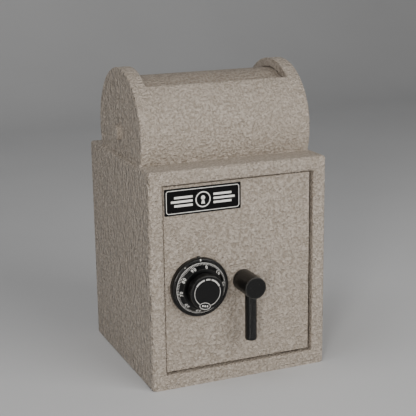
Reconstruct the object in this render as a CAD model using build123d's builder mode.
"""Small steel depository safe: plate body, recessed door with combination lock, rotary hopper.

Frame: +Z up, the front faces -Y, origin at the centre of the underside. Millimetres.
Hopper angles are measured at the drum axis, from straight ahead (-Y) upwards and over to the back.
"""
import os
from math import asin, cos, degrees, radians, sin

from build123d import *

os.makedirs("parts", exist_ok=True)

# ---------------------------------------------------------------- driving dimensions
# body shell
body_width = 280.0
body_depth = 272.0
body_height = 326.0
wall = 5.0
edge_round = 4.5
anchor_spacing_x = 180.0
anchor_spacing_y = 160.0
anchor_hole_r = 5.5

# door opening and frame
opening_left = -118.0
opening_right = 119.0
opening_bottom = 22.0
opening_top = 305.0
frame_depth = 19.0

# door
door_recess = 5.0
door_thickness = 12.7
door_left = -116.5
door_right = 115.5
door_bottom = 25.0
door_top = 303.0
door_corner = 1.5

# hinge
hinge_x = 95.5
hinge_pin_r = 3.5
hinge_clearance = 0.05
hinge_reach = 12.0
hinge_seat = 10.0

# dial, handle and lock places on the door
dial_x = -64.5
dial_z = 151.0
handle_x = 6.0
handle_z = 151.0

# boltwork
crank_radius = 14.0
crank_half_turn = 25.0
bolt_throw = 2 * crank_radius * sin(radians(crank_half_turn))
bolt_r = 7.0
bolt_offset_z = 80.0

# hopper
hopper_inset = 6.0
end_thickness = 6.0
hood_r = 96.0
hood_thickness = 5.0
hopper_axis_height = 35.0
window_half_width = 112.5
window_front = 50.5
window_back = 168.0
lip_angle = 8.0
lip_inner_r = 83.0

# drum
drum_r = 82.0
drum_plate = 3.0
disc_thickness = 4.0
shield_first = 45.0
shield_last = 175.0
tray_last = 280.0
pivot_r = 6.0
pivot_head_r = 11.25
pivot_head_height = 7.5
bush_r = 9.0
running_clearance = 0.05
pull_angle = 160.0

# fasteners: M5 with a socket head, M4 with a pan head or a low flat head
m5_r = 2.5
m5_head_r = 4.3
m5_head = 3.0
m5_socket_r = 2.2
m4_r = 2.0
m4_head_r = 4.0
m4_head = 2.2
m4_socket_r = 1.8
m4_low_r = 3.7
m4_low = 1.6
thread_depth = 7.0

# ---------------------------------------------------------------- worked-out places
half_width = body_width / 2
half_depth = body_depth / 2
front_y = -half_depth
inner_x = half_width - wall
door_front = front_y + door_recess
door_back = door_front + door_thickness
hinge_y = door_front + door_thickness / 2
frame_back = front_y + frame_depth
hopper_z = body_height + hopper_axis_height
end_outer = half_width - hopper_inset
end_inner = end_outer - end_thickness
hood_inner_r = hood_r - hood_thickness


def facing_front(y):
    """Plane at depth y whose normal points to the front, with local x = X and local y = Z."""
    return Plane.XZ.offset(-y)


def box_between(low, high):
    """A plain block between two corners."""
    size = [b - a for a, b in zip(low, high)]
    middle = [(a + b) / 2 for a, b in zip(low, high)]
    with BuildPart() as block:
        with Locations(tuple(middle)):
            Box(*size)
    return block


def rods_y(points, radius, y_front, y_back):
    """Round bars along Y at each (x, z) point."""
    with BuildPart() as rods:
        with BuildSketch(facing_front(y_back)):
            with Locations(*points):
                Circle(radius)
        extrude(amount=y_back - y_front)
    return rods


def screws_y(points, shank_r, head_r, head_front, head_back, tip_front, socket_r=0.0):
    """Headed screws along Y, driven from behind: the head lies behind the shank."""
    with BuildPart() as screws:
        with BuildSketch(facing_front(head_back)):
            with Locations(*points):
                Circle(head_r)
        extrude(amount=head_back - head_front)
        with BuildSketch(facing_front(head_front)):
            with Locations(*points):
                Circle(shank_r)
        extrude(amount=head_front - tip_front)
        if socket_r:
            with BuildSketch(facing_front(head_back)):
                with Locations(*points):
                    RegularPolygon(socket_r, 6)
            extrude(amount=(head_back - head_front) * 0.6, mode=Mode.SUBTRACT)
    return screws


def turned_y(x, z, profile):
    """Solid of revolution about a Y axis through (x, z); the profile is (radius, y) points."""
    with BuildPart() as turned:
        with BuildSketch(Plane.XY.offset(z)):
            with BuildLine():
                Polyline(*[(x + radius, y) for radius, y in profile], close=True)
            make_face()
        revolve(axis=Axis((x, 0, z), (0, 1, 0)))
    return turned


def arc_plate(inner_r, outer_r, first, last, x_low, x_high):
    """Curved plate about the drum axis, between two hopper angles and two X positions."""
    with BuildPart() as plate:
        with BuildSketch(Plane.YZ.offset(x_low)):
            with BuildLine():
                outer = CenterArc((0, hopper_z), outer_r, 180 - last, last - first)
                inner = CenterArc((0, hopper_z), inner_r, 180 - last, last - first)
                Line(outer @ 0, inner @ 0)
                Line(outer @ 1, inner @ 1)
            make_face()
        extrude(amount=x_high - x_low)
    return plate


def rings_x(inner_r, outer_r, x_low, x_high):
    """A ring on the drum axis and its mirror image on the other side."""
    with BuildPart() as rings:
        with BuildSketch(Plane.YZ.offset(x_low)):
            with Locations((0, hopper_z)):
                Circle(outer_r)
                Circle(inner_r, mode=Mode.SUBTRACT)
        extrude(amount=x_high - x_low)
        mirror(about=Plane.YZ)
    return rings


# ================================================================ body shell
def side_panel(side):
    """Side plate whose outer edges are rounded where the sheet folds."""
    outer = side * half_width
    low_x, high_x = sorted((outer, side * inner_x))
    with BuildPart() as panel:
        with Locations(((low_x + high_x) / 2, 0, body_height / 2)):
            Box(wall, body_depth, body_height)
        outer_face = panel.faces().sort_by(Axis.X)[-1 if side > 0 else 0]
        upright_and_top = outer_face.edges().sort_by(Axis.Z)[1:]
        fillet(upright_and_top, edge_round)
    return panel


left_side = side_panel(-1)
right_side = side_panel(1)

chute_margin = 1.0
chute_half_x = end_inner - chute_margin
chute_half_y = 80.0
with BuildPart() as top_panel:
    with Locations((0, 0, body_height - wall / 2)):
        Box(2 * inner_x, body_depth, wall)
        Box(2 * chute_half_x, 2 * chute_half_y, wall, mode=Mode.SUBTRACT)
    along_x = top_panel.edges().filter_by(Axis.X).group_by(Axis.Z)[-1].sort_by(Axis.Y)
    fillet([along_x[0], along_x[-1]], edge_round)

with BuildPart() as bottom_panel:
    with Locations((0, 0, wall / 2)):
        Box(2 * inner_x, body_depth, wall)
    with BuildSketch():
        with GridLocations(anchor_spacing_x, anchor_spacing_y, 2, 2):
            Circle(anchor_hole_r)
    extrude(amount=wall, mode=Mode.SUBTRACT)

back_panel = box_between((-inner_x, half_depth - wall, wall), (inner_x, half_depth, body_height - wall))

baffle_thickness = 3.0
baffle_drop = 25.0
baffle_half = 110.0
baffle_low = body_height - wall - baffle_drop
with BuildPart() as chute_baffles:
    with Locations((0, -chute_half_y - baffle_thickness / 2, baffle_low + baffle_drop / 2)):
        Box(2 * baffle_half, baffle_thickness, baffle_drop)
    mirror(about=Plane.XZ)

# ================================================================ door frame
frame_jamb_left = box_between((-inner_x, front_y, wall), (opening_left, frame_back, body_height - wall))
frame_jamb_right = box_between((opening_right, front_y, wall), (inner_x, frame_back, body_height - wall))

with BuildPart() as frame_head:
    add(box_between((opening_left, front_y, opening_top), (opening_right, frame_back, body_height - wall)))
    with BuildSketch(Plane.XY.offset(opening_top)):
        with Locations((hinge_x, hinge_y)):
            Circle(hinge_pin_r)
    extrude(amount=hinge_seat, mode=Mode.SUBTRACT)

with BuildPart() as frame_sill:
    add(box_between((opening_left, front_y, wall), (opening_right, frame_back, opening_bottom)))
    with BuildSketch(Plane.XY.offset(opening_bottom)):
        with Locations((hinge_x, hinge_y)):
            Circle(hinge_pin_r)
    extrude(amount=-hinge_seat, mode=Mode.SUBTRACT)

# ================================================================ hinge
pin_chamfer = 0.6
with BuildPart() as hinge_pins:
    with BuildSketch(Plane.XY.offset(opening_bottom - hinge_seat)):
        with Locations((hinge_x, hinge_y)):
            Circle(hinge_pin_r)
    extrude(amount=door_bottom + hinge_reach - opening_bottom + hinge_seat)
    with BuildSketch(Plane.XY.offset(opening_top + hinge_seat)):
        with Locations((hinge_x, hinge_y)):
            Circle(hinge_pin_r)
    extrude(amount=-(opening_top + hinge_seat - door_top + hinge_reach))
    pin_ends = hinge_pins.edges().group_by(Axis.Z)
    chamfer(pin_ends[0] + pin_ends[-1], pin_chamfer)

# ================================================================ door
spindle_r = 4.0
tube_r = 7.0
handle_bush_r = 9.0
lock_screw_points = [(-88.5, 115.5), (-40.5, 115.5), (-88.5, 169.0), (-40.5, 186.5)]
lock_screw_tip = door_back - thread_depth
carrier_arm_z = 209.0
shoulder_points = [(-62.0, carrier_arm_z), (-17.0, carrier_arm_z)]
shoulder_thread_r = 3.0
shoulder_tip = door_back - 6.0
ring_screw_spread = 27.0
ring_screw_points = [(dial_x - ring_screw_spread, dial_z), (dial_x + ring_screw_spread, dial_z)]
ring_screw_tip = door_front + thread_depth
hinge_blind = 1.0

with BuildPart() as door_plate:
    with BuildSketch(facing_front(door_back)):
        with Locations(((door_left + door_right) / 2, (door_bottom + door_top) / 2)):
            Rectangle(door_right - door_left, door_top - door_bottom)
    extrude(amount=door_thickness)
    front_face = door_plate.faces().sort_by(Axis.Y)[0]
    fillet(front_face.edges(), door_corner)
    with BuildSketch(facing_front(door_back)):
        with Locations((dial_x, dial_z)):
            Circle(tube_r)
        with Locations((handle_x, handle_z)):
            Circle(handle_bush_r)
    extrude(amount=door_thickness, mode=Mode.SUBTRACT)
    for points, radius, tip in (
        (lock_screw_points, m5_r, lock_screw_tip),
        (shoulder_points, shoulder_thread_r, shoulder_tip),
    ):
        with BuildSketch(facing_front(door_back)):
            with Locations(*points):
                Circle(radius)
        extrude(amount=door_back - tip, mode=Mode.SUBTRACT)
    with BuildSketch(facing_front(ring_screw_tip)):
        with Locations(*ring_screw_points):
            Circle(m4_r)
    extrude(amount=ring_screw_tip - door_front, mode=Mode.SUBTRACT)
    for edge_z, inward in ((door_bottom, 1), (door_top, -1)):
        with BuildSketch(Plane.XY.offset(edge_z)):
            with Locations((hinge_x, hinge_y)):
                Circle(hinge_pin_r + hinge_clearance)
        extrude(amount=inward * (hinge_reach + hinge_blind), mode=Mode.SUBTRACT)

bar_low_z = 45.0
bar_high_z = 283.0
bar_depth = 11.0
bar_step = 3.0
bar_inner_x = 100.0
bar_lip_x = opening_right - 4.0
bar_outer_x = opening_right + 9.0
with BuildPart() as dead_bar:
    with BuildSketch(Plane.XY.offset(bar_low_z)):
        with BuildLine():
            Polyline(
                (bar_inner_x, door_back),
                (bar_lip_x, door_back),
                (bar_lip_x, door_back + bar_step),
                (bar_outer_x, door_back + bar_step),
                (bar_outer_x, door_back + bar_depth),
                (bar_inner_x, door_back + bar_depth),
                close=True,
            )
        make_face()
    extrude(amount=bar_high_z - bar_low_z)

label_left = -114.5
label_right = 3.0
label_low = 260.4
label_high = 299.4
label_thickness = 1.0
label_corner = 1.5
with BuildPart() as label_plate:
    with BuildSketch(facing_front(door_front)):
        with Locations(((label_left + label_right) / 2, (label_low + label_high) / 2)):
            RectangleRounded(label_right - label_left, label_high - label_low, label_corner)
    extrude(amount=label_thickness)

bush_flange = 2.0
bush_flange_r = 12.0
with BuildPart() as handle_bush:
    with BuildSketch(facing_front(door_back)):
        with Locations((handle_x, handle_z)):
            Circle(handle_bush_r)
    extrude(amount=door_thickness)
    with BuildSketch(facing_front(door_back + bush_flange)):
        with Locations((handle_x, handle_z)):
            Circle(bush_flange_r)
    extrude(amount=bush_flange)
    with BuildSketch(facing_front(door_back + bush_flange)):
        with Locations((handle_x, handle_z)):
            Circle(pivot_r + running_clearance)
    extrude(amount=door_thickness + bush_flange, mode=Mode.SUBTRACT)

# ================================================================ lock case and its inside
case_left = -95.0
case_right = -33.0
case_low = 109.0
case_high = 193.0
case_wall = 3.0
case_corner = 3.0
case_depth = 29.0
case_back = door_back + case_depth
cover_thickness = 3.0
boss_r = 5.0
lock_bolt_height = 13.0
lock_bolt_depth = 9.0
lock_bolt_high = case_high - case_wall - 0.7
lock_bolt_low = lock_bolt_high - lock_bolt_height
lock_bolt_back = case_back - 2.7
lock_bolt_front = lock_bolt_back - lock_bolt_depth
bolt_gap = 0.4

with BuildPart() as lock_case:
    add(box_between((case_left, door_back, case_low), (case_right, case_back, case_high)))
    fillet(lock_case.edges().filter_by(Axis.Y), case_corner)
    add(
        box_between(
            (case_left + case_wall, door_back + case_wall, case_low + case_wall),
            (case_right - case_wall, case_back, case_high - case_wall),
        ),
        mode=Mode.SUBTRACT,
    )
    with BuildSketch(facing_front(case_back)):
        with Locations(*lock_screw_points):
            Circle(boss_r)
    extrude(amount=case_depth)
    with BuildSketch(facing_front(case_back)):
        with Locations(*lock_screw_points):
            Circle(m5_r)
        with Locations((dial_x, dial_z)):
            Circle(tube_r)
    extrude(amount=case_depth, mode=Mode.SUBTRACT)
    add(
        box_between(
            (case_left, lock_bolt_front - bolt_gap, lock_bolt_low - bolt_gap),
            (case_left + case_wall, lock_bolt_back + bolt_gap, lock_bolt_high + bolt_gap),
        ),
        mode=Mode.SUBTRACT,
    )

with BuildPart() as lock_cover:
    with BuildSketch(facing_front(case_back + cover_thickness)):
        with Locations(((case_left + case_right) / 2, (case_low + case_high) / 2)):
            RectangleRounded(case_right - case_left, case_high - case_low, case_corner)
        with Locations(*lock_screw_points):
            Circle(m5_r, mode=Mode.SUBTRACT)
    extrude(amount=cover_thickness)

lock_head_front = case_back + cover_thickness
lock_head_back = lock_head_front + m5_head
lock_screws = screws_y(
    lock_screw_points, m5_r, m5_head_r, lock_head_front, lock_head_back, lock_screw_tip, m5_socket_r
)

# wheel post: the tube that the spindle runs in carries the wheels inside the case
tube_behind_door = 19.8
tube_back = door_back + tube_behind_door
with BuildPart() as spindle_tube:
    with BuildSketch(facing_front(tube_back)):
        with Locations((dial_x, dial_z)):
            Circle(tube_r)
            Circle(spindle_r + running_clearance, mode=Mode.SUBTRACT)
    extrude(amount=tube_back - door_front)

wheel_r = 21.0
wheel_thickness = 2.0
wheel_pitch = 5.0
wheel_gap = 0.3
gate_width = 5.0
gate_depth = 4.5
gate_overcut = 1.0
change_ring_r = 13.0
change_hole_r = 1.6
change_turn = 30.0
first_wheel_gap = 2.8
first_wheel_front = door_back + case_wall + first_wheel_gap
wheel_fronts = [first_wheel_front + wheel_pitch * n for n in range(3)]
gate_angles = [35.0, 160.0, 275.0]


def lock_wheel(y_front, gate_angle):
    """Combination wheel with its gate and a ring of change holes."""
    with BuildPart() as wheel:
        with BuildSketch(facing_front(y_front + wheel_thickness)):
            with Locations((dial_x, dial_z)):
                Circle(wheel_r)
                Circle(tube_r + running_clearance, mode=Mode.SUBTRACT)
                with PolarLocations(wheel_r - (gate_depth - gate_overcut) / 2, 1, start_angle=gate_angle):
                    Rectangle(gate_depth + gate_overcut, gate_width, mode=Mode.SUBTRACT)
                with PolarLocations(change_ring_r, 6, start_angle=gate_angle + change_turn):
                    Circle(change_hole_r, mode=Mode.SUBTRACT)
        extrude(amount=wheel_thickness)
    return wheel


wheels = [lock_wheel(y, angle) for y, angle in zip(wheel_fronts, gate_angles)]

spacer_r = 10.0
spacer_spans = [(door_back + case_wall, wheel_fronts[0] - wheel_gap)]
spacer_spans += [(y + wheel_thickness + wheel_gap, y + wheel_pitch - wheel_gap) for y in wheel_fronts]
with BuildPart() as wheel_spacers:
    for y_front, y_back in spacer_spans:
        with BuildSketch(facing_front(y_back)):
            with Locations((dial_x, dial_z)):
                Circle(spacer_r)
                Circle(tube_r, mode=Mode.SUBTRACT)
        extrude(amount=y_back - y_front)

# ================================================================ lock bolt and its lever
lock_bolt_corner = 1.2
lock_bolt_tip = case_left - lock_bolt_corner
lock_bolt_tail = -62.0
lever_thickness = 3.0
lever_front = lock_bolt_front - lever_thickness
lever_left = -81.0
lever_screw_point = (-76.0, lock_bolt_low + lock_bolt_height / 2)
lever_screw_back = lock_bolt_front + 5.0
lever_head_r = 3.8
lever_head = 2.0
with BuildPart() as lock_bolt:
    add(
        box_between(
            (lock_bolt_tip, lock_bolt_front, lock_bolt_low), (lock_bolt_tail, lock_bolt_back, lock_bolt_high)
        )
    )
    fillet(lock_bolt.faces().sort_by(Axis.X)[0].edges().filter_by(Axis.Y), lock_bolt_corner)
    with BuildSketch(facing_front(lever_screw_back)):
        with Locations(lever_screw_point):
            Circle(m4_r)
    extrude(amount=lever_screw_back - lock_bolt_front, mode=Mode.SUBTRACT)

cam_r = 19.0
cam_thickness = 4.5
cam_front = door_back + 23.3
cam_back = cam_front + cam_thickness
cam_notch_turn = 235.0
cam_notch = (7.0, 6.5)
nose_left = lock_bolt_tail + 0.5
nose_right = nose_left + 4.5
nose_root_high = lock_bolt_low + 9.0
nose_low = dial_z + cam_r + 0.5
lever_high = lock_bolt_high - 1.5
fence_left = -66.5
fence_right = fence_left + 4.0
fence_front = wheel_fronts[0] - 0.5
fence_low = dial_z + wheel_r + 0.6
fence_high = lock_bolt_low + 3.0
with BuildPart() as lock_lever:
    add(box_between((lever_left, lever_front, lock_bolt_low), (nose_right, lock_bolt_front, lever_high)))
    add(box_between((fence_left, fence_front, fence_low), (fence_right, lever_front, fence_high)))
    add(box_between((nose_left, lever_front, lock_bolt_low), (nose_right, cam_back, nose_root_high)))
    add(box_between((nose_left, cam_front + 0.5, nose_low), (nose_right, cam_back, lock_bolt_low)))
    with BuildSketch(facing_front(lock_bolt_front)):
        with Locations(lever_screw_point):
            Circle(m4_r)
    extrude(amount=lever_thickness, mode=Mode.SUBTRACT)

with BuildPart() as lever_screw:
    with BuildSketch(facing_front(lever_screw_back)):
        with Locations(lever_screw_point):
            Circle(m4_r)
    extrude(amount=lever_screw_back - lever_front)
    with BuildSketch(facing_front(lever_front)):
        with Locations(lever_screw_point):
            Circle(lever_head_r)
    extrude(amount=lever_head)

# ================================================================ dial, spindle and drive cam
ring_r = 44.0
ring_height = 9.5
ring_recess_r = 40.0
ring_floor = 4.6
ring_lug_width = 4.0
ring_lug_height = 2.6
ring_lug_depth = 6.0
dial_rim_r = 39.4
dial_back = door_front - ring_floor - 0.9
dial_rim_front = door_front - 8.6
dial_shoulder_r = 30.0
dial_shoulder_front = dial_rim_front - 8.8
knob_neck_r = 21.5
knob_neck_front = dial_shoulder_front - 1.0
knob_r = 25.6
knob_back = knob_neck_front - 1.0
knob_front = door_front - 34.0

ring_front = door_front - ring_height
ring_seat = door_front - ring_floor
with BuildPart() as dial_ring:
    add(
        turned_y(
            dial_x,
            dial_z,
            [
                (tube_r, door_front),
                (ring_r, door_front),
                (ring_r, ring_front + 2.6),
                (ring_r - 1.0, ring_front + 0.7),
                (ring_r - 2.2, ring_front),
                (ring_recess_r, ring_front),
                (ring_recess_r, ring_seat),
                (tube_r, ring_seat),
            ],
        )
    )
    with BuildSketch(facing_front(door_front)):
        with Locations((dial_x, dial_z + ring_r)):
            Rectangle(ring_lug_width, ring_lug_height)
    extrude(amount=ring_lug_depth)
    with BuildSketch(facing_front(door_front)):
        with Locations(*ring_screw_points):
            Circle(m4_r)
    extrude(amount=ring_floor, mode=Mode.SUBTRACT)
    with BuildSketch(facing_front(ring_seat)):
        with Locations(*ring_screw_points):
            Circle(m4_low_r)
    extrude(amount=-m4_low, mode=Mode.SUBTRACT)

with BuildPart() as ring_screws:
    with BuildSketch(facing_front(ring_screw_tip)):
        with Locations(*ring_screw_points):
            Circle(m4_r)
    extrude(amount=ring_screw_tip - ring_seat - m4_low)
    with BuildSketch(facing_front(ring_seat + m4_low)):
        with Locations(*ring_screw_points):
            Circle(m4_low_r)
    extrude(amount=m4_low)

spindle_seat = door_front - 24.0
with BuildPart() as dial:
    add(
        turned_y(
            dial_x,
            dial_z,
            [
                (spindle_r, dial_back),
                (dial_rim_r, dial_back),
                (dial_rim_r, dial_rim_front),
                (dial_shoulder_r, dial_shoulder_front),
                (knob_neck_r, dial_shoulder_front),
                (knob_neck_r, knob_neck_front),
                (knob_r - 1.0, knob_back),
                (knob_r, knob_back - 1.5),
                (knob_r, knob_front + 1.6),
                (knob_r - 0.5, knob_front + 0.5),
                (knob_r - 1.6, knob_front),
                (0, knob_front),
                (0, spindle_seat),
                (spindle_r, spindle_seat),
            ],
        )
    )

with BuildPart() as spindle:
    with BuildSketch(facing_front(cam_back)):
        with Locations((dial_x, dial_z)):
            Circle(spindle_r)
    extrude(amount=cam_back - spindle_seat)

with BuildPart() as drive_cam:
    with BuildSketch(facing_front(cam_back)):
        with Locations((dial_x, dial_z)):
            Circle(cam_r)
            Circle(spindle_r, mode=Mode.SUBTRACT)
            with PolarLocations(cam_r - 2.0, 1, start_angle=cam_notch_turn):
                Rectangle(*cam_notch, mode=Mode.SUBTRACT)
    extrude(amount=cam_back - cam_front)

# ================================================================ handle
hub_r = 16.3
hub_edge = 0.8
hub_front = door_front - 45.4
hub_back = door_front - 0.7
shaft_front = hub_front + 5.0
shaft_r = pivot_r
lever_y = front_y - 22.6
lever_r = 8.7
lever_low = 67.0
lever_top = handle_z - shaft_r - 6.0
lever_end_round = 2.6
spigot_r = 5.0
spigot_low = lever_low + 20.0
spigot_top = handle_z - shaft_r - 2.0
crank_back = door_back + 20.3
crank_arm_front = crank_back - 5.0
crank_hub_front = crank_back - 13.0
crank_hub_r = 11.0
crank_pin_r = 3.0
crank_eye_r = 6.0
crank_pin_x = handle_x + crank_radius * sin(radians(crank_half_turn))
crank_pin_z = handle_z - crank_radius * cos(radians(crank_half_turn))
roll_pin_r = 1.5
roll_pin_y = crank_hub_front + 4.0
carrier_front = crank_back + 1.5
carrier_thickness = 5.0
carrier_back = carrier_front + carrier_thickness
crank_pin_back = carrier_back + 1.5
roll_pin_wall = 0.5
roll_pin_inset = 0.4
set_screw_y = door_front - 12.0
set_screw_socket_r = 1.3
set_screw_low = handle_z - hub_r + 1.5

with BuildPart() as handle_hub:
    with BuildSketch(facing_front(hub_back)):
        with Locations((handle_x, handle_z)):
            Circle(hub_r)
    extrude(amount=hub_back - hub_front)
    fillet(handle_hub.faces().sort_by(Axis.Y)[0].edges(), hub_edge)
    with BuildSketch(facing_front(hub_back)):
        with Locations((handle_x, handle_z)):
            Circle(shaft_r)
    extrude(amount=hub_back - shaft_front, mode=Mode.SUBTRACT)
    with BuildSketch(Plane.XY.offset(handle_z - hub_r)):
        with Locations((handle_x, lever_y)):
            Circle(spigot_r)
    extrude(amount=spigot_top - handle_z + hub_r, mode=Mode.SUBTRACT)
    with BuildSketch(Plane.XY.offset(handle_z - hub_r)):
        with Locations((handle_x, set_screw_y)):
            Circle(m5_r)
    extrude(amount=hub_r, mode=Mode.SUBTRACT)

with BuildPart() as lever:
    with BuildSketch(Plane.XY.offset(lever_low)):
        with Locations((handle_x, lever_y)):
            Circle(lever_r)
    extrude(amount=lever_top - lever_low)
    fillet(lever.faces().sort_by(Axis.Z)[0].edges(), lever_end_round)
    with BuildSketch(facing_front(hub_back)):
        with Locations((handle_x, handle_z)):
            Circle(hub_r)
    extrude(amount=hub_back - hub_front, mode=Mode.SUBTRACT)
    with BuildSketch(Plane.XY.offset(spigot_low)):
        with Locations((handle_x, lever_y)):
            Circle(spigot_r)
    extrude(amount=spigot_top - spigot_low)

with BuildPart() as handle_shaft:
    with BuildSketch(facing_front(crank_back)):
        with Locations((handle_x, handle_z)):
            Circle(shaft_r)
    extrude(amount=crank_back - shaft_front)
    with BuildSketch(Plane.YZ.offset(handle_x - crank_hub_r)):
        with Locations((roll_pin_y, handle_z)):
            Circle(roll_pin_r)
    extrude(amount=2 * crank_hub_r, mode=Mode.SUBTRACT)

with BuildPart() as set_screw:
    with BuildSketch(Plane.XY.offset(handle_z - shaft_r)):
        with Locations((handle_x, set_screw_y)):
            Circle(m5_r)
            RegularPolygon(set_screw_socket_r, 6, mode=Mode.SUBTRACT)
    extrude(amount=set_screw_low - handle_z + shaft_r)

with BuildPart() as crank:
    add(rods_y([(crank_pin_x, crank_pin_z)], crank_pin_r, crank_back, crank_pin_back))
    with BuildSketch(facing_front(crank_back)):
        with Locations((handle_x, handle_z)):
            Circle(crank_hub_r)
        with Locations((crank_pin_x, crank_pin_z)):
            Circle(crank_eye_r)
        make_hull()
    extrude(amount=crank_back - crank_arm_front)
    with BuildSketch(facing_front(crank_arm_front)):
        with Locations((handle_x, handle_z)):
            Circle(crank_hub_r)
    extrude(amount=crank_arm_front - crank_hub_front)
    with BuildSketch(facing_front(crank_back)):
        with Locations((handle_x, handle_z)):
            Circle(shaft_r)
    extrude(amount=crank_back - crank_hub_front, mode=Mode.SUBTRACT)
    with BuildSketch(Plane.YZ.offset(handle_x - crank_hub_r)):
        with Locations((roll_pin_y, handle_z)):
            Circle(roll_pin_r)
    extrude(amount=2 * crank_hub_r, mode=Mode.SUBTRACT)

with BuildPart() as roll_pin:
    with BuildSketch(Plane.YZ.offset(handle_x - crank_hub_r + roll_pin_inset)):
        with Locations((roll_pin_y, handle_z)):
            Circle(roll_pin_r)
            Circle(roll_pin_r - roll_pin_wall, mode=Mode.SUBTRACT)
    extrude(amount=2 * (crank_hub_r - roll_pin_inset))

shaft_washer_front = door_back + bush_flange + 0.4
shaft_washer_r = 11.0
with BuildPart() as shaft_washer:
    with BuildSketch(facing_front(crank_hub_front)):
        with Locations((handle_x, handle_z)):
            Circle(shaft_washer_r)
            Circle(shaft_r, mode=Mode.SUBTRACT)
    extrude(amount=crank_hub_front - shaft_washer_front)

# ================================================================ boltwork
strip_left = -111.5
strip_right = lock_bolt_tip - 0.3
ear_right = -84.0
ear_half = 12.0
arm_half = 9.0
leg_half = 9.0
leg_low = handle_z - crank_radius - leg_half
slot_clearance = 0.6
post_hole_clearance = 0.3
bolt_points_z = [handle_z - bolt_offset_z, handle_z + bolt_offset_z]
bolt_screw_x = -91.5
shoulder_r = 4.0
slot_length = crank_pin_z - handle_z + crank_radius + 1.2

bolt_y = frame_back + 0.5 + bolt_r
bolt_tip_x = -115.0
bolt_tail_x = -79.0
bolt_chamfer = 1.0
bolt_screw_tip = bolt_y - bolt_r + 3.0
lug_left = -98.5
lug_front = bolt_y + 1.0

with BuildPart() as carrier_plate:
    with BuildSketch(facing_front(carrier_back)):
        with Locations(((strip_left + strip_right) / 2, handle_z)):
            Rectangle(strip_right - strip_left, 2 * (bolt_offset_z + ear_half))
        for bolt_z in bolt_points_z:
            with Locations(((strip_left + ear_right) / 2, bolt_z)):
                Rectangle(ear_right - strip_left, 2 * ear_half)
        leg_right = crank_pin_x + leg_half
        with Locations(((strip_left + leg_right) / 2, carrier_arm_z)):
            Rectangle(leg_right - strip_left, 2 * arm_half)
        with Locations((crank_pin_x, (leg_low + carrier_arm_z) / 2)):
            Rectangle(2 * leg_half, carrier_arm_z - leg_low)
        with Locations((crank_pin_x, (crank_pin_z + handle_z - crank_radius) / 2)):
            SlotCenterToCenter(
                slot_length, 2 * (crank_pin_r + slot_clearance), rotation=90, mode=Mode.SUBTRACT
            )
        for post_x, post_z in shoulder_points:
            with Locations((post_x + bolt_throw / 2, post_z)):
                SlotCenterToCenter(bolt_throw, 2 * (shoulder_r + post_hole_clearance), mode=Mode.SUBTRACT)
    extrude(amount=carrier_thickness)
    with BuildSketch(facing_front(carrier_front)):
        with Locations(*[((lug_left + ear_right) / 2, bolt_z) for bolt_z in bolt_points_z]):
            Rectangle(ear_right - lug_left, 2 * bolt_r)
    extrude(amount=carrier_front - lug_front)
    with BuildSketch(Plane.YZ.offset(bolt_tip_x)):
        with Locations(*[(bolt_y, bolt_z) for bolt_z in bolt_points_z]):
            Circle(bolt_r)
    extrude(amount=bolt_tail_x - bolt_tip_x, mode=Mode.SUBTRACT)
    with BuildSketch(facing_front(carrier_back)):
        with Locations(*[(bolt_screw_x, bolt_z) for bolt_z in bolt_points_z]):
            Circle(m5_r)
    extrude(amount=carrier_back - bolt_y, mode=Mode.SUBTRACT)

with BuildPart() as live_bolts:
    with BuildSketch(Plane.YZ.offset(bolt_tip_x)):
        with Locations(*[(bolt_y, bolt_z) for bolt_z in bolt_points_z]):
            Circle(bolt_r)
    extrude(amount=bolt_tail_x - bolt_tip_x)
    chamfer(live_bolts.edges().group_by(Axis.X)[0], bolt_chamfer)
    with BuildSketch(facing_front(bolt_y + bolt_r)):
        with Locations(*[(bolt_screw_x, bolt_z) for bolt_z in bolt_points_z]):
            Circle(m5_r)
    extrude(amount=bolt_y + bolt_r - bolt_screw_tip, mode=Mode.SUBTRACT)

bolt_screws = screws_y(
    [(bolt_screw_x, bolt_z) for bolt_z in bolt_points_z],
    m5_r, m5_head_r, carrier_back, carrier_back + m5_head, bolt_screw_tip, m5_socket_r,
)

guide_left = -115.0
guide_thickness = 4.0
guide_back = carrier_front - 1.5
guide_half = bolt_offset_z + 16.0
foot_half = 50.0
foot_right = -96.5
with BuildPart() as bolt_guide:
    add(
        box_between(
            (guide_left, door_back, handle_z - guide_half),
            (guide_left + guide_thickness, guide_back, handle_z + guide_half),
        )
    )
    add(
        box_between(
            (guide_left + guide_thickness, door_back, handle_z - foot_half),
            (foot_right, door_back + guide_thickness, handle_z + foot_half),
        )
    )
    with BuildSketch(Plane.YZ.offset(guide_left)):
        with Locations(*[(bolt_y, bolt_z) for bolt_z in bolt_points_z]):
            Circle(bolt_r + post_hole_clearance)
    extrude(amount=guide_thickness, mode=Mode.SUBTRACT)

post_r = 7.0
post_back = carrier_front - 0.3
shoulder_back = carrier_back + 0.3
shoulder_head = 2.5
shoulder_socket_r = 2.5
with BuildPart() as shoulder_screws:
    with BuildSketch(facing_front(shoulder_back)):
        with Locations(*shoulder_points):
            Circle(shoulder_r)
    extrude(amount=shoulder_back - door_back)
    with BuildSketch(facing_front(door_back)):
        with Locations(*shoulder_points):
            Circle(shoulder_thread_r)
    extrude(amount=door_back - shoulder_tip)
    with BuildSketch(facing_front(shoulder_back + shoulder_head)):
        with Locations(*shoulder_points):
            Circle(post_r)
            RegularPolygon(shoulder_socket_r, 6, mode=Mode.SUBTRACT)
    extrude(amount=shoulder_head)

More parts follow.
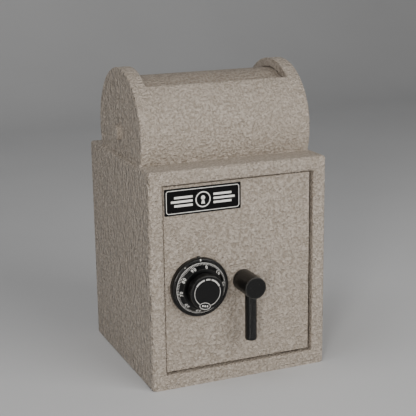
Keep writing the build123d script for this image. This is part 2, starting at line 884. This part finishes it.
# ================================================================ boltwork cover
sheet = 2.0
cover_front = lock_head_back + 0.4
cover_back = cover_front + sheet
cover_left = -110.0
cover_right = 92.0
cover_low = 40.0
cover_high = 288.0
cover_post_points = [(-60.0, 54.0), (80.0, 54.0), (-60.0, 274.0), (80.0, 274.0)]
cover_post_r = 5.0
cover_bend = 1.5
cover_screw_tip = cover_front - 10.0

with BuildPart() as boltwork_cover:
    add(box_between((cover_left, cover_front, cover_low), (cover_right, cover_back, cover_high)))
    add(box_between((cover_left, door_back, cover_low), (cover_right, cover_front, cover_low + sheet)))
    add(box_between((cover_left, door_back, cover_high - sheet), (cover_right, cover_front, cover_high)))
    cheek_low = (cover_right - sheet, door_back, cover_low + sheet)
    add(box_between(cheek_low, (cover_right, cover_front, cover_high - sheet)))
    back_edges = boltwork_cover.faces().sort_by(Axis.Y)[-1].edges().filter_by(Axis.X)
    fillet(back_edges, cover_bend)
    with BuildSketch(facing_front(cover_back)):
        with Locations(*cover_post_points):
            Circle(m4_r)
    extrude(amount=sheet, mode=Mode.SUBTRACT)

with BuildPart() as door_standoffs:
    with BuildSketch(facing_front(cover_front)):
        with Locations(*cover_post_points):
            Circle(cover_post_r)
    extrude(amount=cover_front - door_back)
    with BuildSketch(facing_front(cover_front)):
        with Locations(*cover_post_points):
            Circle(m4_r)
    extrude(amount=cover_front - cover_screw_tip, mode=Mode.SUBTRACT)
    with BuildSketch(facing_front(post_back)):
        with Locations(*shoulder_points):
            Circle(post_r)
            Circle(shoulder_r, mode=Mode.SUBTRACT)
    extrude(amount=post_back - door_back)

cover_screws = screws_y(
    cover_post_points, m4_r, m4_head_r, cover_back, cover_back + m4_head, cover_screw_tip, m4_socket_r
)

# ================================================================ hopper
end_round = 2.0
window_corner = 3.0
hood_sink = 2.0
plinth = box_between((-half_width, -half_depth, 0), (half_width, half_depth, body_height))

with BuildPart() as hopper_ends:
    with BuildSketch(Plane.YZ.offset(end_inner)):
        with Locations((0, hopper_z)):
            Circle(hood_r)
    extrude(amount=end_thickness)
    fillet(hopper_ends.faces().sort_by(Axis.X)[-1].edges(), end_round)
    add(plinth, mode=Mode.SUBTRACT)
    with BuildSketch(Plane.YZ.offset(end_inner)):
        with Locations((0, hopper_z)):
            Circle(pivot_r)
    extrude(amount=end_thickness, mode=Mode.SUBTRACT)
    mirror(about=Plane.YZ)

hood_first = -degrees(asin(hopper_axis_height / hood_r)) - hood_sink
with BuildPart() as hood:
    add(arc_plate(hood_inner_r, hood_r, hood_first, 180 - hood_first, -end_inner, end_inner))
    add(plinth, mode=Mode.SUBTRACT)
    add(
        arc_plate(
            hood_inner_r - 1, hood_r + 1, window_front, window_back, -window_half_width, window_half_width
        ),
        mode=Mode.SUBTRACT,
    )
    window_corners = [
        edge
        for edge in hood.edges()
        if abs(abs(edge.center().X) - window_half_width) < 0.01 and edge.length < hood_thickness + 0.01
    ]
    fillet(window_corners, window_corner)

with BuildPart() as cheek_guards:
    add(arc_plate(lip_inner_r, hood_inner_r, window_front, window_back, window_half_width, end_inner))
    mirror(about=Plane.YZ)

with BuildPart() as window_lips:
    for lip_first in (window_front - lip_angle, window_back):
        add(arc_plate(lip_inner_r, hood_inner_r, lip_first, lip_first + lip_angle, -end_inner, end_inner))

# ================================================================ drum
disc_gap = 3.0
hub_length = 7.0
disc_outer = end_inner - disc_gap
disc_inner = disc_outer - disc_thickness
hub_inner = disc_inner - hub_length
hub_ring_r = 16.0
shield_inner_r = drum_r - drum_plate

with BuildPart() as drum_discs:
    with BuildSketch(Plane.YZ.offset(disc_inner)):
        with Locations((0, hopper_z)):
            Circle(drum_r)
            Circle(bush_r, mode=Mode.SUBTRACT)
    extrude(amount=disc_thickness)
    mirror(about=Plane.YZ)

drum_hubs = rings_x(bush_r, hub_ring_r, hub_inner, disc_inner)
pivot_bushes = rings_x(pivot_r + running_clearance, bush_r, hub_inner, disc_outer)

pull_half = 70.0
pull_foot = 20.0
pull_height = 11.0
pull_sheet = 3.0
pull_sink = 1.0
pull_screw_spots = [(-55.0, -pull_sheet), (55.0, -pull_sheet)]
pull_plane = Plane(
    origin=(0, -cos(radians(pull_angle)) * drum_r, hopper_z + sin(radians(pull_angle)) * drum_r),
    x_dir=(1, 0, 0),
    z_dir=(0, -cos(radians(pull_angle)), sin(radians(pull_angle))),
)
pull_screw_seat = pull_plane.offset(pull_sheet)

with BuildPart() as drum_shield:
    add(arc_plate(shield_inner_r, drum_r, shield_first, shield_last, -disc_inner, disc_inner))
    with BuildSketch(pull_plane.offset(pull_sink)):
        with Locations(*pull_screw_spots):
            Circle(m4_r)
    extrude(amount=-pull_sink - 2 * drum_plate, mode=Mode.SUBTRACT)

# the tray is a flat plate along the chord from the shield's front edge to the open side
tray_middle = (shield_first + tray_last) / 2
tray_offset = -shield_inner_r * cos(radians((tray_last - shield_first) / 2))
tray_plane = Plane(
    origin=(0, cos(radians(tray_middle)) * tray_offset, hopper_z - sin(radians(tray_middle)) * tray_offset),
    x_dir=(1, 0, 0),
    z_dir=(0, -cos(radians(tray_middle)), sin(radians(tray_middle))),
)
with BuildPart() as drum_tray:
    with BuildSketch(tray_plane):
        Rectangle(2 * disc_inner, 2 * drum_r)
    extrude(amount=drum_plate)
    with BuildSketch(Plane.YZ.offset(-disc_inner)):
        with Locations((0, hopper_z)):
            Circle(shield_inner_r)
    extrude(amount=2 * disc_inner, mode=Mode.INTERSECT)

under_pull = 19.0
drum_round = arc_plate(
    shield_inner_r - 2, drum_r, pull_angle - under_pull, pull_angle + under_pull, -end_inner, end_inner
)
with BuildPart() as pull_handle:
    with BuildSketch(pull_plane.offset(-pull_sink)):
        Rectangle(2 * pull_half, pull_foot)
    extrude(amount=pull_sink + pull_sheet)
    with BuildSketch(pull_plane):
        with Locations((0, (pull_foot - pull_sheet) / 2)):
            Rectangle(2 * pull_half, pull_sheet)
    extrude(amount=pull_height)
    add(drum_round, mode=Mode.SUBTRACT)
    with BuildSketch(pull_screw_seat):
        with Locations(*pull_screw_spots):
            Circle(m4_r)
    extrude(amount=-2 * pull_sheet, mode=Mode.SUBTRACT)

with BuildPart() as pull_screws:
    with BuildSketch(pull_screw_seat):
        with Locations(*pull_screw_spots):
            Circle(m4_low_r)
    extrude(amount=m4_low)
    with BuildSketch(pull_screw_seat):
        with Locations(*pull_screw_spots):
            Circle(m4_r)
    extrude(amount=-pull_sheet - drum_plate)

# ================================================================ drum pivots
pivot_tip = hub_inner - 4.0
pivot_head_round = 1.2
clip_outer = hub_inner - 0.6
clip_thickness = 1.2
clip_groove = 1.0
clip_r = 9.5
clip_mouth = 2 * (pivot_r - clip_groove) - 1.5
with BuildPart() as pivot_pins:
    with BuildSketch(Plane.YZ.offset(end_outer)):
        with Locations((0, hopper_z)):
            Circle(pivot_head_r)
    extrude(amount=pivot_head_height)
    fillet(pivot_pins.faces().sort_by(Axis.X)[-1].edges(), pivot_head_round)
    with BuildSketch(Plane.YZ.offset(pivot_tip)):
        with Locations((0, hopper_z)):
            Circle(pivot_r)
    extrude(amount=end_outer - pivot_tip)
    with BuildSketch(Plane.YZ.offset(clip_outer - clip_thickness)):
        with Locations((0, hopper_z)):
            Circle(pivot_r)
            Circle(pivot_r - clip_groove, mode=Mode.SUBTRACT)
    extrude(amount=clip_thickness, mode=Mode.SUBTRACT)
    mirror(about=Plane.YZ)

# washers: a pair inside the hopper ends and one under the door, on its lower hinge pin
pivot_washer_r = 12.0
pivot_washer_play = 0.6
hinge_washer_r = 5.4
hinge_washer_play = 0.4
with BuildPart() as thrust_washers:
    add(rings_x(pivot_r, pivot_washer_r, disc_outer + pivot_washer_play, end_inner))
    with BuildSketch(Plane.XY.offset(opening_bottom)):
        with Locations((hinge_x, hinge_y)):
            Circle(hinge_washer_r)
            Circle(hinge_pin_r, mode=Mode.SUBTRACT)
    extrude(amount=door_bottom - hinge_washer_play - opening_bottom)

with BuildPart() as pivot_clips:
    with BuildSketch(Plane.YZ.offset(clip_outer - clip_thickness)):
        with Locations((0, hopper_z)):
            Circle(clip_r)
            Circle(pivot_r - clip_groove, mode=Mode.SUBTRACT)
            with Locations((0, -pivot_r)):
                Rectangle(clip_mouth, 2 * pivot_r, mode=Mode.SUBTRACT)
    extrude(amount=clip_thickness)
    mirror(about=Plane.YZ)

# ================================================================ export
pieces = {
    "left_side": left_side,
    "right_side": right_side,
    "top_panel": top_panel,
    "bottom_panel": bottom_panel,
    "back_panel": back_panel,
    "chute_baffles": chute_baffles,
    "frame_jamb_left": frame_jamb_left,
    "frame_jamb_right": frame_jamb_right,
    "frame_head": frame_head,
    "frame_sill": frame_sill,
    "hinge_pins": hinge_pins,
    "hood": hood,
    "hopper_ends": hopper_ends,
    "cheek_guards": cheek_guards,
    "window_lips": window_lips,
    "pivot_pins": pivot_pins,
    "thrust_washers": thrust_washers,
    "pivot_clips": pivot_clips,
    "door_plate": door_plate,
    "dead_bar": dead_bar,
    "label_plate": label_plate,
    "handle_bush": handle_bush,
    "lock_case": lock_case,
    "lock_cover": lock_cover,
    "lock_screws": lock_screws,
    "spindle_tube": spindle_tube,
    "wheel_spacers": wheel_spacers,
    "dial_ring": dial_ring,
    "ring_screws": ring_screws,
    "bolt_guide": bolt_guide,
    "door_standoffs": door_standoffs,
    "shoulder_screws": shoulder_screws,
    "boltwork_cover": boltwork_cover,
    "cover_screws": cover_screws,
    "handle_hub": handle_hub,
    "lever": lever,
    "handle_shaft": handle_shaft,
    "set_screw": set_screw,
    "crank": crank,
    "roll_pin": roll_pin,
    "shaft_washer": shaft_washer,
    "carrier_plate": carrier_plate,
    "live_bolts": live_bolts,
    "bolt_screws": bolt_screws,
    "lock_bolt": lock_bolt,
    "lock_lever": lock_lever,
    "lever_screw": lever_screw,
    "dial": dial,
    "spindle": spindle,
    "drive_cam": drive_cam,
    "drum_shield": drum_shield,
    "drum_tray": drum_tray,
    "drum_discs": drum_discs,
    "drum_hubs": drum_hubs,
    "pivot_bushes": pivot_bushes,
    "pull_handle": pull_handle,
    "pull_screws": pull_screws,
}
for number, wheel in enumerate(wheels, start=1):
    pieces[f"wheel_{number}"] = wheel

for name, piece in pieces.items():
    piece.part.label = name
    export_step(piece.part, f"parts/{name}.step")
